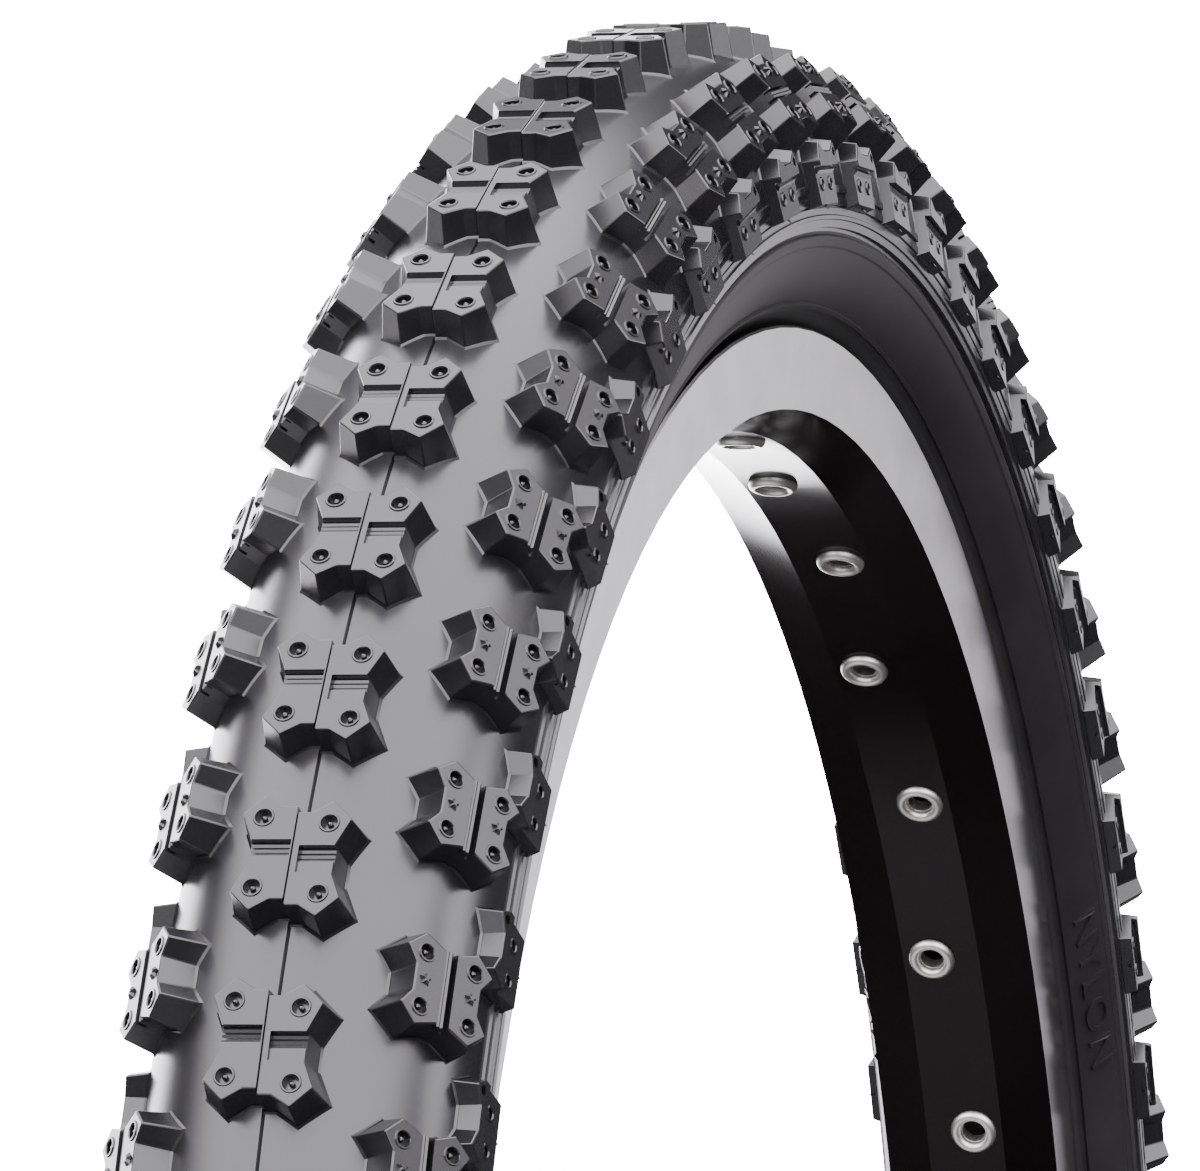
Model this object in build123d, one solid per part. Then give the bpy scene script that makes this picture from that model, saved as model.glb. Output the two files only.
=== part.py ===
from build123d import *
import math
import os

# Twenty-inch knobbly bicycle tyre mounted on its spoked rim, without spokes or hub.
# Millimetres. The origin is the wheel centre, the axle line is Y, and +Z is up.
# A profile is drawn with x as the radius and y along the axle, then turned about Y.
# "left" pieces lie on the +Y side and "right" pieces on the -Y side.

# ---- driving dimensions -------------------------------------------------------------
BEAD_SEAT_R = 203.0        # ISO 406 bead seat
FLANGE_HEIGHT = 6.0        # bead seat to the top of the rim flange
RIM_HALF_WIDTH = 15.0      # outside of the flange
RIM_LIP_DROP = 6.4         # bead seat down to where the side wall turns in
RIM_LIP_TAPER = 0.7        # the side wall leans in by this much from flange to lip
RIM_BED_DROP = 9.6         # bead seat down to the inner face that carries the eyelets
RIM_BED_INSET = 8.6        # flat part of that face in from the flange's outside
RIM_WALL = 1.6
RIM_HOOK = 0.7             # how far the flange hook leans over the bead
RIM_HOOK_DEPTH = 1.8       # radial height of that hook
WELL_DEPTH = 3.2           # bead seat down to the centre well
WELL_INSET = 8.6           # centre well in from the flange's outside
BEAD_SHELF = 3.6           # width of each bead seat
CHAMBER_FILLET = 0.6       # extra metal in the corners of the hollow chamber

SPOKE_COUNT = 36
SPOKE_PHASE = 15.5         # angle of the first eyelet from the top
SPOKE_STAGGER = 1.55       # eyelets alternate to either side of the centre line
EYELET_BORE_R = 2.0
EYELET_BARREL_R = 2.5
EYELET_FLANGE_R = 3.85
EYELET_FLANGE_T = 0.9
EYELET_ROLL_T = 0.45       # lip rolled over inside the rim
EYELET_CLEARANCE = 0.04
NIPPLE_ACCESS_R = 4.4

CASING_RISE = 24.3         # bead seat up to the centre of the oval tyre section
CASING_HALF_HEIGHT = 22.4
CASING_HALF_WIDTH = 22.0
TREAD_RUBBER = 2.0         # rubber over the plies at the crown
SIDE_RUBBER = 1.0          # rubber over the plies at the widest point
PLY = 0.6
TREAD_EDGE = 101.7         # angle round the section where tread meets side wall
SIDEWALL_EDGE = 136.3      # angle round the section where side wall meets chafer
BEAD_WIRE_R = 1.0
BEAD_WIRE_RISE = 3.0       # bead seat up to the middle of the wire
BEAD_WIRE_INSET = 4.4      # middle of the wire in from the rim flange's outside
BEAD_CLEARANCE = 0.3       # bead to rim flange and seat
TOE_INSET = 6.6            # inner edge of the bead in from the rim flange's outside
TOE_CHAMFER = 0.5
CHAFER_NECK = 6.0          # degrees of the oval below the side wall before it turns in
CHAFER_STEP = 0.4          # the bead's ledge below the top of the rim flange

TUBE_WALL = 0.9
TUBE_CLEARANCE = 0.3
TUBE_EDGE = 133.0          # angle round the section where the tube leaves the casing
TUBE_BEAD_GAP = 0.5        # tube to the inner edge of the bead
TAPE_T = 0.7
TAPE_CLEARANCE = 0.1       # each edge of the tape to the well's edge
HAIR = 0.02                # gap between pieces that rest on each other
THROUGH = 2.0              # how far a cutting solid runs past the metal

KNOB_COUNT = 60
KNOB_PHASE = 2.34          # angle of the first centre block from the top
MOULD_SHIFT = 0.10         # the two mould halves are this many degrees out, each way
KNOB_HEIGHT = 4.1
EDGE_KNOB_HEIGHT = 2.7
KNOB_DRAFT = 0.55          # walls spread by this much from top to base
KNOB_ROOT = 2.2            # how far a block is drawn below the tread before trimming
SHOULDER_S = 19.6          # distance round the section from the centre line
SHOULDER_PHASE = 2.85
EDGE_S = 31.0
EDGE_PHASE = -0.40
EDGE_STEP = 1.0            # outer part of an edge block stands lower by this much
EDGE_STEP_S = -1.1         # where it steps down, across from the block's middle
GROOVE_WIDTH = 3.8
GROOVE_DEPTH = 1.2
SEAM_LEDGE = 1.0           # the groove stops this far from the mould seam
SIPE_WIDTH = 1.9
SIPE_DEPTH = 1.5
BLOCK_CUT = 20.0           # half size of the solids that cut a block, larger than any block

# half outlines, as (distance from the block's middle across the tread, distance along it)
CENTRE_OUTLINE = [(0, 6.85), (1.9, 6.85), (4.5, 8.5), (7.3, 5.8), (5.6, 1.9)]
SHOULDER_OUTLINE = [(0, 5.3), (1.2, 5.3), (4.2, 6.5), (6.8, 4.1), (5.15, 1.8)]
EDGE_OUTLINE = [(-3.2, 1.8), (-4.6, 4.2), (-2.0, 5.6), (4.4, 4.9)]

VALVE_JACKET_R = 4.1
VALVE_HOLE_CLEARANCE = 0.2
VALVE_PAD_R = 5.4
VALVE_PAD_T = 1.2
VALVE_LENGTH = 35.0        # tube to mouth
JACKET_LENGTH = 24.0
THREAD_R = 3.85            # 8V1 valve thread
THREAD_CLEARANCE = 0.08
STEM_BODY_R = 2.9
STEM_BORE_R = 1.6
CORE_POCKET_R = 2.6        # 5V1 core thread
CORE_POCKET_DEPTH = 12.0
CORE_CLEARANCE = 0.05
CORE_BORE_R = 1.2
CORE_WALL_END = 1.5        # thickness of the barrel's two ends
CORE_RECESS = 1.0          # barrel below the stem's mouth
CORE_NECK_R = 1.9
CORE_NECK_LENGTH = 3.5
GASKET_T = 0.5
PIN_R = 0.5
PIN_CLEARANCE = 0.06
PIN_COLLAR_R = 1.1
PIN_COLLAR_T = 0.8
PIN_COLLAR_GAP = 0.1       # collar to the barrel's upper end
PIN_TAIL = 0.6             # pin below its seal
PIN_RECESS = 0.4           # pin's end below the stem's mouth
PIN_TRAVEL = 1.2
CORE_SEAL_R = 1.3
CORE_SEAL_T = 1.6
SPRING_WIRE_R = 0.14
SPRING_TURNS = 6
CAP_OUTER_R = 5.0
CAP_SKIRT = 5.3            # skirt over the thread
CAP_CROWN_T = 1.6
CAP_SEAL_T = 1.2
CAP_SEAT_GAP = 0.1
CAP_CHAMFER = 0.6
CAP_RIBS = 16
CAP_FLUTE_R = 0.5
CAP_FLUTE_DEPTH = 0.25

FLANGE_R = BEAD_SEAT_R + FLANGE_HEIGHT
RIM_LIP_R = BEAD_SEAT_R - RIM_LIP_DROP
RIM_LIP_HALF_WIDTH = RIM_HALF_WIDTH - RIM_LIP_TAPER
RIM_BED_R = BEAD_SEAT_R - RIM_BED_DROP
RIM_BED_HALF_WIDTH = RIM_HALF_WIDTH - RIM_BED_INSET
WELL_R = BEAD_SEAT_R - WELL_DEPTH
WELL_HALF_WIDTH = RIM_HALF_WIDTH - WELL_INSET
BEAD_WIRE_RING_R = BEAD_SEAT_R + BEAD_WIRE_RISE
BEAD_WIRE_Y = RIM_HALF_WIDTH - BEAD_WIRE_INSET
TOE_HALF_WIDTH = RIM_HALF_WIDTH - TOE_INSET
CASING_CENTRE_R = BEAD_SEAT_R + CASING_RISE
BED_BACK_R = RIM_BED_R + RIM_WALL
CROWN_R = CASING_CENTRE_R + CASING_HALF_HEIGHT
SPOKE_STEP = 360.0 / SPOKE_COUNT


# ---- helpers ------------------------------------------------------------------------
def section_point(angle, rubber=0.0, side_rubber=0.0):
    """Point on the oval section, 'angle' degrees round from the crown, inside by a layer."""
    a = math.radians(angle)
    r = CASING_CENTRE_R + (CASING_HALF_HEIGHT - rubber) * math.cos(a)
    return (r, (CASING_HALF_WIDTH - side_rubber) * math.sin(a))


def oval_arc(start, end, rubber, side_rubber):
    """Arc of the oval section between two angles from the crown."""
    return EllipticalCenterArc(
        (CASING_CENTRE_R, 0),
        CASING_HALF_HEIGHT - rubber,
        CASING_HALF_WIDTH - side_rubber,
        start_angle=start,
        arc_size=end - start,
    )


def oval_band(start, end, outer, inner):
    """Closed section between two ovals, each given as (crown inset, side inset)."""
    top = oval_arc(start, end, *outer)
    bottom = oval_arc(start, end, *inner)
    ends = [Line(top @ 0, bottom @ 0), Line(top @ 1, bottom @ 1)]
    return make_face(Curve() + [top, bottom] + ends)


def turned(face):
    return revolve(face, axis=Axis.Y, revolution_arc=360)


def polygon(points):
    return make_face(Polyline(*points, close=True))


def both_sides(face):
    return mirror(face, about=Plane.XZ)


def around(solid, count, phase):
    """Copies of a solid at equal angles about the axle."""
    step = 360.0 / count
    return [Rot(Y=phase + k * step) * solid for k in range(count)]


def only(shape):
    """The largest solid in a shape, so that each piece stays one solid."""
    return max(shape.solids(), key=lambda s: s.volume)


def save(name, solids):
    solids = [s for shape in solids for s in shape.solids()]
    export_step(Compound(children=solids), os.path.join("parts", name + ".step"))
    print(name, len(solids), round(sum(s.volume for s in solids), 1))


def rod(radius, low, high):
    """Upright cylinder on the valve's axis between two heights."""
    base = (Align.CENTER, Align.CENTER, Align.MIN)
    return Pos(0, 0, low) * Cylinder(radius, high - low, align=base)


def sleeve(outer, inner, low, high):
    return rod(outer, low, high) - rod(inner, low - THROUGH, high + THROUGH)


# ---- rim ----------------------------------------------------------------------------
def rim_half_outline():
    """Outside of the hollow rim on the +Y side, from the tyre well round to the spoke bed."""
    wall_y = RIM_HALF_WIDTH - RIM_WALL
    hook_y = wall_y - RIM_HOOK
    shelf_y = wall_y - BEAD_SHELF
    return [
        (WELL_R, 0),
        (WELL_R, WELL_HALF_WIDTH),
        (BEAD_SEAT_R, shelf_y),
        (BEAD_SEAT_R, wall_y),
        (FLANGE_R - RIM_HOOK_DEPTH, wall_y),
        (FLANGE_R - RIM_HOOK_DEPTH / 2, hook_y),
        (FLANGE_R, hook_y + RIM_HOOK / 2),
        (FLANGE_R, RIM_HALF_WIDTH - RIM_HOOK / 2),
        (FLANGE_R - RIM_HOOK / 2, RIM_HALF_WIDTH),
        (RIM_LIP_R, RIM_LIP_HALF_WIDTH),
        (RIM_BED_R, RIM_BED_HALF_WIDTH),
        (RIM_BED_R, 0),
    ]


def rim_chamber():
    """Hollow between the tyre well and the spoke bed."""
    top = WELL_R - RIM_WALL
    low = BED_BACK_R
    half = RIM_LIP_HALF_WIDTH - RIM_WALL - CHAMBER_FILLET
    corner = [
        (low, RIM_BED_HALF_WIDTH - CHAMBER_FILLET),
        (RIM_LIP_R + CHAMBER_FILLET, half),
        (BEAD_SEAT_R - RIM_WALL - 2 * CHAMBER_FILLET, half),
        (top, WELL_HALF_WIDTH),
    ]
    return polygon(corner + [(r, -y) for r, y in reversed(corner)])


def make_rim():
    half = rim_half_outline()
    section = polygon(half + [(r, -y) for r, y in reversed(half[1:-1])])
    rim = turned(section) - turned(rim_chamber())
    drills = []
    for k in range(SPOKE_COUNT):
        angle = SPOKE_PHASE + k * SPOKE_STEP
        y = SPOKE_STAGGER if k % 2 == 0 else -SPOKE_STAGGER
        low = rod(EYELET_BARREL_R + EYELET_CLEARANCE, RIM_BED_R - THROUGH, BED_BACK_R + THROUGH / 2)
        high = rod(NIPPLE_ACCESS_R, WELL_R - RIM_WALL - THROUGH / 2, WELL_R + THROUGH)
        drills += [Rot(Y=angle) * Pos(0, y, 0) * low, Rot(Y=angle) * Pos(0, y, 0) * high]
    drills.append(rod(VALVE_JACKET_R + VALVE_HOLE_CLEARANCE, -BEAD_SEAT_R, -RIM_BED_R + THROUGH))
    for drill in drills:
        rim = rim - drill
    return only(rim)


def make_eyelet():
    """Tubular rivet with a domed flange on the hub side, standing on the radius at the top."""
    face_r = math.sqrt(RIM_BED_R ** 2 - EYELET_FLANGE_R ** 2) - EYELET_CLEARANCE
    roll_r = BED_BACK_R + EYELET_CLEARANCE
    dome = EYELET_FLANGE_T / 3
    outline = [
        (EYELET_BORE_R, face_r - EYELET_FLANGE_T + dome),
        (EYELET_BORE_R + dome, face_r - EYELET_FLANGE_T),
        (EYELET_BORE_R + 3 * dome, face_r - EYELET_FLANGE_T),
        (EYELET_FLANGE_R - dome / 2, face_r - dome),
        (EYELET_FLANGE_R, face_r),
        (EYELET_BARREL_R, face_r),
        (EYELET_BARREL_R, roll_r),
        (EYELET_BARREL_R + EYELET_ROLL_T, roll_r),
        (EYELET_BARREL_R, roll_r + EYELET_ROLL_T),
        (EYELET_BORE_R, roll_r + EYELET_ROLL_T),
    ]
    return revolve(Plane.XZ * polygon(outline), axis=Axis.Z, revolution_arc=360)


# ---- tyre ---------------------------------------------------------------------------
RUBBER_IN = (TREAD_RUBBER, SIDE_RUBBER)
PLY_MID = (TREAD_RUBBER + PLY, SIDE_RUBBER + PLY)
PLY_IN = (TREAD_RUBBER + 2 * PLY, SIDE_RUBBER + 2 * PLY)


def wire_circle(radius):
    return Pos(BEAD_WIRE_RING_R, BEAD_WIRE_Y) * Circle(radius)


def outer_ply_side():
    """Tail of the outer ply: down the inside of the bead wire and wrapped round it."""
    a = section_point(SIDEWALL_EDGE, *RUBBER_IN)
    b = section_point(SIDEWALL_EDGE, *PLY_MID)
    wrap = BEAD_WIRE_R + PLY
    link = polygon([a, b, (BEAD_WIRE_RING_R, BEAD_WIRE_Y - wrap), (BEAD_WIRE_RING_R, BEAD_WIRE_Y)])
    return (link + wire_circle(wrap)) - wire_circle(BEAD_WIRE_R)


def inner_ply_side():
    """Tail of the inner ply, inside the outer one and cut off level with the wire."""
    b = section_point(SIDEWALL_EDGE, *PLY_MID)
    c = section_point(SIDEWALL_EDGE, *PLY_IN)
    inside = BEAD_WIRE_Y - BEAD_WIRE_R - PLY
    tail = polygon([b, c, (BEAD_WIRE_RING_R, inside - PLY), (BEAD_WIRE_RING_R, inside)])
    return tail - wire_circle(BEAD_WIRE_R + PLY)


def chafer_side():
    """Rubber foot of the tyre: everything round the bead that is not ply or wire."""
    wall_y = RIM_HALF_WIDTH - RIM_WALL - RIM_HOOK - BEAD_CLEARANCE
    sole_r = BEAD_SEAT_R + BEAD_CLEARANCE
    start = section_point(SIDEWALL_EDGE)
    neck = section_point(SIDEWALL_EDGE + CHAFER_NECK)
    block = polygon([
        start,
        neck,
        (FLANGE_R - CHAFER_STEP, wall_y),
        (sole_r, wall_y),
        (sole_r, TOE_HALF_WIDTH + TOE_CHAMFER),
        (sole_r + TOE_CHAMFER, TOE_HALF_WIDTH),
        (BEAD_WIRE_RING_R, BEAD_WIRE_Y - BEAD_WIRE_R - 2 * PLY),
        section_point(SIDEWALL_EDGE, *PLY_IN),
    ])
    return block - outer_ply_side() - inner_ply_side() - wire_circle(BEAD_WIRE_R)


def make_plies():
    crown_outer = oval_band(-SIDEWALL_EDGE, SIDEWALL_EDGE, RUBBER_IN, PLY_MID)
    crown_inner = oval_band(-SIDEWALL_EDGE, SIDEWALL_EDGE, PLY_MID, PLY_IN)
    outer = crown_outer + outer_ply_side() + both_sides(outer_ply_side())
    inner = crown_inner + inner_ply_side() + both_sides(inner_ply_side())
    return only(turned(outer)), only(turned(inner))


def tyre_envelope():
    """Solid torus with the tyre's outside, used to trim the feet of the blocks."""
    arc = oval_arc(-SIDEWALL_EDGE, SIDEWALL_EDGE, 0, 0)
    return only(turned(make_face(Curve() + [arc, Line(arc @ 1, arc @ 0)])))


def tread_frame(s):
    """Plane on the tread surface, s millimetres round from the centre line towards +Y.

    Its z points out of the rubber, its y across the tread and its x along it.
    """
    angle = 0.0
    walked = 0.0
    step = 0.05
    while walked < s:
        a = math.radians(angle + step / 2)
        dr = CASING_HALF_HEIGHT * math.sin(a)
        dy = CASING_HALF_WIDTH * math.cos(a)
        walked += math.hypot(dr, dy) * math.radians(step)
        angle += step
    r, y = section_point(angle)
    a = math.radians(angle)
    normal = Vector(0, math.sin(a) / CASING_HALF_WIDTH, math.cos(a) / CASING_HALF_HEIGHT).normalized()
    return Plane(origin=(0, y, r), x_dir=(1, 0, 0), z_dir=(normal.X, normal.Y, normal.Z))


def spread(points, amount):
    """Outline moved outward by an amount, keeping its corners."""
    moved = []
    count = len(points)
    for k in range(count):
        before = Vector(*points[k - 1])
        here = Vector(*points[k])
        after = Vector(*points[(k + 1) % count])
        e1 = (here - before).normalized()
        e2 = (after - here).normalized()
        n1 = Vector(e1.Y, -e1.X)
        n2 = Vector(e2.Y, -e2.X)
        both = n1 + n2
        both = both * (amount / (1 + n1.dot(n2)))
        moved.append((here.X + both.X, here.Y + both.Y))
    return moved


def block(points, height, frame, envelope):
    """Block with drafted walls on the tread, its foot trimmed to the tread surface."""
    share = (height + KNOB_ROOT) / height
    top = frame.offset(height) * polygon(points)
    foot = frame.offset(-KNOB_ROOT) * polygon(spread(points, KNOB_DRAFT * share))
    return only(loft([top, foot], ruled=True) - envelope)


def full_outline(half):
    """Whole outline of a block, counter-clockwise as (along, across), from one quarter."""
    quarter = [(t, s) for s, t in half]
    right = [p for p in quarter if p[1] > 0]
    first = quarter[0]
    loop = [first] + right + [(-t, s) for t, s in reversed(right)]
    loop += [(-first[0], 0)] + [(-t, -s) for t, s in right] + [(t, -s) for t, s in reversed(right)]
    return loop


def centre_half(envelope):
    """The +Y half of a centre block; the other mould half makes its mirror image."""
    quarter = [(t, s) for s, t in CENTRE_OUTLINE]
    loop = quarter + [(-t, s) for t, s in reversed(quarter)]
    piece = block(loop, KNOB_HEIGHT, tread_frame(0), envelope)
    groove = Box(GROOVE_WIDTH, 2 * (BLOCK_CUT - SEAM_LEDGE), 2 * GROOVE_DEPTH)
    other_half = Pos(0, -BLOCK_CUT, CROWN_R) * Box(2 * BLOCK_CUT, 2 * BLOCK_CUT, 2 * BLOCK_CUT)
    return piece - Pos(0, BLOCK_CUT, CROWN_R + KNOB_HEIGHT) * groove - other_half


def make_centre_block(envelope):
    left = only(centre_half(envelope))
    right = mirror(left, about=Plane.XZ)
    return only(Rot(Y=MOULD_SHIFT) * left + Rot(Y=-MOULD_SHIFT) * right)


def make_shoulder_block(envelope):
    frame = tread_frame(SHOULDER_S)
    piece = block(full_outline(SHOULDER_OUTLINE), KNOB_HEIGHT, frame, envelope)
    sipe = frame.offset(KNOB_HEIGHT) * Box(2 * BLOCK_CUT, SIPE_WIDTH, 2 * SIPE_DEPTH)
    return only(piece - sipe)


def make_edge_block(envelope):
    outline = [(t, s) for s, t in EDGE_OUTLINE]
    loop = outline + [(-t, s) for t, s in reversed(outline)]
    frame = tread_frame(EDGE_S)
    piece = block(loop, EDGE_KNOB_HEIGHT, frame, envelope)
    step = Pos(0, EDGE_STEP_S + BLOCK_CUT, 0) * Box(2 * BLOCK_CUT, 2 * BLOCK_CUT, 2 * EDGE_STEP)
    return only(piece - frame.offset(EDGE_KNOB_HEIGHT) * step)


# ---- tube and valve -----------------------------------------------------------------
def tube_outline(inset):
    """Closed section of the inflated tube, inside by 'inset'."""
    crown = TREAD_RUBBER + 2 * PLY + TUBE_CLEARANCE + inset
    side = SIDE_RUBBER + 2 * PLY + TUBE_CLEARANCE + inset
    arc = oval_arc(-TUBE_EDGE, TUBE_EDGE, crown, side)
    foot_r = WELL_R + TAPE_T + VALVE_PAD_T + inset
    foot = [
        arc @ 1,
        Vector(BEAD_WIRE_RING_R + BEAD_WIRE_R, TOE_HALF_WIDTH - TUBE_BEAD_GAP - inset),
        Vector(BEAD_WIRE_RING_R - BEAD_WIRE_R, TOE_HALF_WIDTH - TUBE_BEAD_GAP - inset),
        Vector(foot_r, VALVE_PAD_R + TAPE_CLEARANCE - inset / 2),
    ]
    lower = foot + [Vector(p.X, -p.Y) for p in reversed(foot)]
    return make_face(Curve() + [arc, Polyline(*lower)])


TUBE_FOOT_R = WELL_R + TAPE_T + VALVE_PAD_T
VALVE_BASE_Z = -TUBE_FOOT_R
MOUTH_Z = VALVE_BASE_Z + VALVE_LENGTH
JACKET_TOP_Z = VALVE_BASE_Z + JACKET_LENGTH
CORE_TOP_Z = MOUTH_Z - CORE_RECESS
POCKET_Z = MOUTH_Z - CORE_POCKET_DEPTH
CORE_FOOT_Z = POCKET_Z - CORE_NECK_LENGTH
PIN_TOP_Z = MOUTH_Z - PIN_RECESS
SPRING_LOW_Z = CORE_FOOT_Z + CORE_WALL_END


def make_valve():
    """Pieces of the valve, each standing on the valve's axis below the wheel centre."""
    stem = rod(STEM_BODY_R, VALVE_BASE_Z - TUBE_WALL, JACKET_TOP_Z)
    stem += rod(THREAD_R, JACKET_TOP_Z, MOUTH_Z)
    neck_pocket = CORE_NECK_R + CORE_CLEARANCE
    stem -= rod(STEM_BORE_R, VALVE_BASE_Z - THROUGH, MOUTH_Z)
    stem -= rod(neck_pocket, CORE_FOOT_Z - CORE_SEAL_T - 2 * PIN_TRAVEL, MOUTH_Z)
    stem -= rod(CORE_POCKET_R, POCKET_Z, MOUTH_Z + THROUGH)

    pad = rod(VALVE_PAD_R, VALVE_BASE_Z, VALVE_BASE_Z + VALVE_PAD_T)
    jacket = rod(VALVE_JACKET_R, VALVE_BASE_Z, JACKET_TOP_Z) + pad
    jacket -= rod(STEM_BODY_R, VALVE_BASE_Z - THROUGH, MOUTH_Z)

    shoulder = POCKET_Z + GASKET_T
    barrel = rod(CORE_POCKET_R - CORE_CLEARANCE, shoulder, CORE_TOP_Z)
    barrel += rod(CORE_NECK_R, CORE_FOOT_Z, shoulder)
    barrel -= rod(CORE_BORE_R, SPRING_LOW_Z, CORE_TOP_Z - CORE_WALL_END)
    barrel -= rod(PIN_R + PIN_CLEARANCE, CORE_FOOT_Z - THROUGH, CORE_TOP_Z + THROUGH)

    gasket = sleeve(CORE_POCKET_R - CORE_CLEARANCE, CORE_NECK_R, POCKET_Z, shoulder)

    seal_top = CORE_FOOT_Z - HAIR
    pin = rod(PIN_R, seal_top - CORE_SEAL_T - PIN_TAIL, PIN_TOP_Z)
    collar_top = CORE_TOP_Z - CORE_WALL_END - PIN_COLLAR_GAP
    pin += rod(PIN_COLLAR_R, collar_top - PIN_COLLAR_T, collar_top)
    seal = sleeve(CORE_SEAL_R, PIN_R, seal_top - CORE_SEAL_T, seal_top)

    spring_r = (CORE_BORE_R + PIN_R + PIN_CLEARANCE) / 2
    low = SPRING_LOW_Z + SPRING_WIRE_R + HAIR
    high = collar_top - PIN_COLLAR_T - SPRING_WIRE_R - HAIR
    helix = Helix(pitch=(high - low) / SPRING_TURNS, height=high - low, radius=spring_r)
    start = Plane(origin=helix @ 0, z_dir=helix % 0)
    wire = sweep(start * Circle(SPRING_WIRE_R), path=helix, is_frenet=True)
    spring = Pos(0, 0, low) * wire
    return {
        "valve_stem": stem,
        "valve_jacket": jacket,
        "valve_core_barrel": barrel,
        "valve_core_gasket": gasket,
        "valve_core_pin": pin,
        "valve_core_seal": seal,
        "valve_core_spring": spring,
    }


def make_cap():
    """Ribbed screw cap over the mouth, and the rubber disc inside its crown."""
    seal_low = MOUTH_Z + CAP_SEAT_GAP
    seal_top = seal_low + CAP_SEAL_T
    low = MOUTH_Z - CAP_SKIRT
    bore = THREAD_R + THREAD_CLEARANCE
    cap = rod(CAP_OUTER_R, low, seal_top + CAP_CROWN_T)
    cap = chamfer(cap.edges().group_by(Axis.Z)[-1], CAP_CHAMFER)
    flute = rod(CAP_FLUTE_R, low - THROUGH, seal_top + CAP_CROWN_T + THROUGH)
    flute = Pos(CAP_OUTER_R + CAP_FLUTE_R - CAP_FLUTE_DEPTH, 0, 0) * flute
    for k in range(CAP_RIBS):
        cap -= Rot(Z=k * 360.0 / CAP_RIBS) * flute
    cap -= rod(bore, low - THROUGH, seal_top)
    disc = rod(bore - CORE_CLEARANCE, seal_low, seal_top)
    return only(cap), disc


# ---- build --------------------------------------------------------------------------
def main():
    os.makedirs("parts", exist_ok=True)

    save("rim", [make_rim()])
    eyelet = make_eyelet()
    for name, side, parity in (("eyelets_left", 1, 0), ("eyelets_right", -1, 1)):
        placed = Pos(0, side * SPOKE_STAGGER, 0) * eyelet
        phase = SPOKE_PHASE + parity * SPOKE_STEP
        save(name, around(placed, SPOKE_COUNT // 2, phase))

    tape_half = WELL_HALF_WIDTH - TAPE_CLEARANCE
    tape_low = WELL_R + HAIR
    tape = turned(polygon([
        (tape_low, -tape_half), (WELL_R + TAPE_T, -tape_half),
        (WELL_R + TAPE_T, tape_half), (tape_low, tape_half),
    ]))
    tape -= rod(VALVE_JACKET_R + VALVE_HOLE_CLEARANCE, -BEAD_SEAT_R, -WELL_R + THROUGH)
    save("rim_tape", [only(tape)])

    outer_ply, inner_ply = make_plies()
    save("casing_ply_outer", [outer_ply])
    save("casing_ply_inner", [inner_ply])
    save("tread_base", [turned(oval_band(-TREAD_EDGE, TREAD_EDGE, (0, 0), RUBBER_IN))])

    wall = turned(oval_band(TREAD_EDGE, SIDEWALL_EDGE, (0, 0), RUBBER_IN))
    chafer = only(turned(chafer_side()))
    wire = turned(wire_circle(BEAD_WIRE_R))
    for name, piece in (("sidewall", wall), ("chafer", chafer), ("bead_wire", wire)):
        save(name + "_left", [piece])
        save(name + "_right", [mirror(piece, about=Plane.XZ)])

    envelope = tyre_envelope()
    save("center_knobs", around(make_centre_block(envelope), KNOB_COUNT, KNOB_PHASE))
    rows = (
        ("shoulder_knobs", make_shoulder_block(envelope), SHOULDER_PHASE),
        ("edge_knobs", make_edge_block(envelope), EDGE_PHASE),
    )
    for name, piece, phase in rows:
        start = KNOB_PHASE + phase
        save(name + "_left", around(piece, KNOB_COUNT, start + MOULD_SHIFT))
        other = mirror(piece, about=Plane.XZ)
        save(name + "_right", around(other, KNOB_COUNT, start - MOULD_SHIFT))

    tube = turned(tube_outline(0)) - turned(tube_outline(TUBE_WALL))
    tube -= rod(STEM_BODY_R, VALVE_BASE_Z - THROUGH, VALVE_BASE_Z + THROUGH)
    save("inner_tube", [only(tube)])
    for name, piece in make_valve().items():
        if name == "valve_jacket":
            piece -= turned(tube_outline(0))
        save(name, [piece])
    cap, disc = make_cap()
    save("valve_cap", [cap])
    save("valve_cap_seal", [disc])


main()
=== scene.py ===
import math

import bmesh
import bpy
import numpy as np
from mathutils import Matrix, Vector


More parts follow.
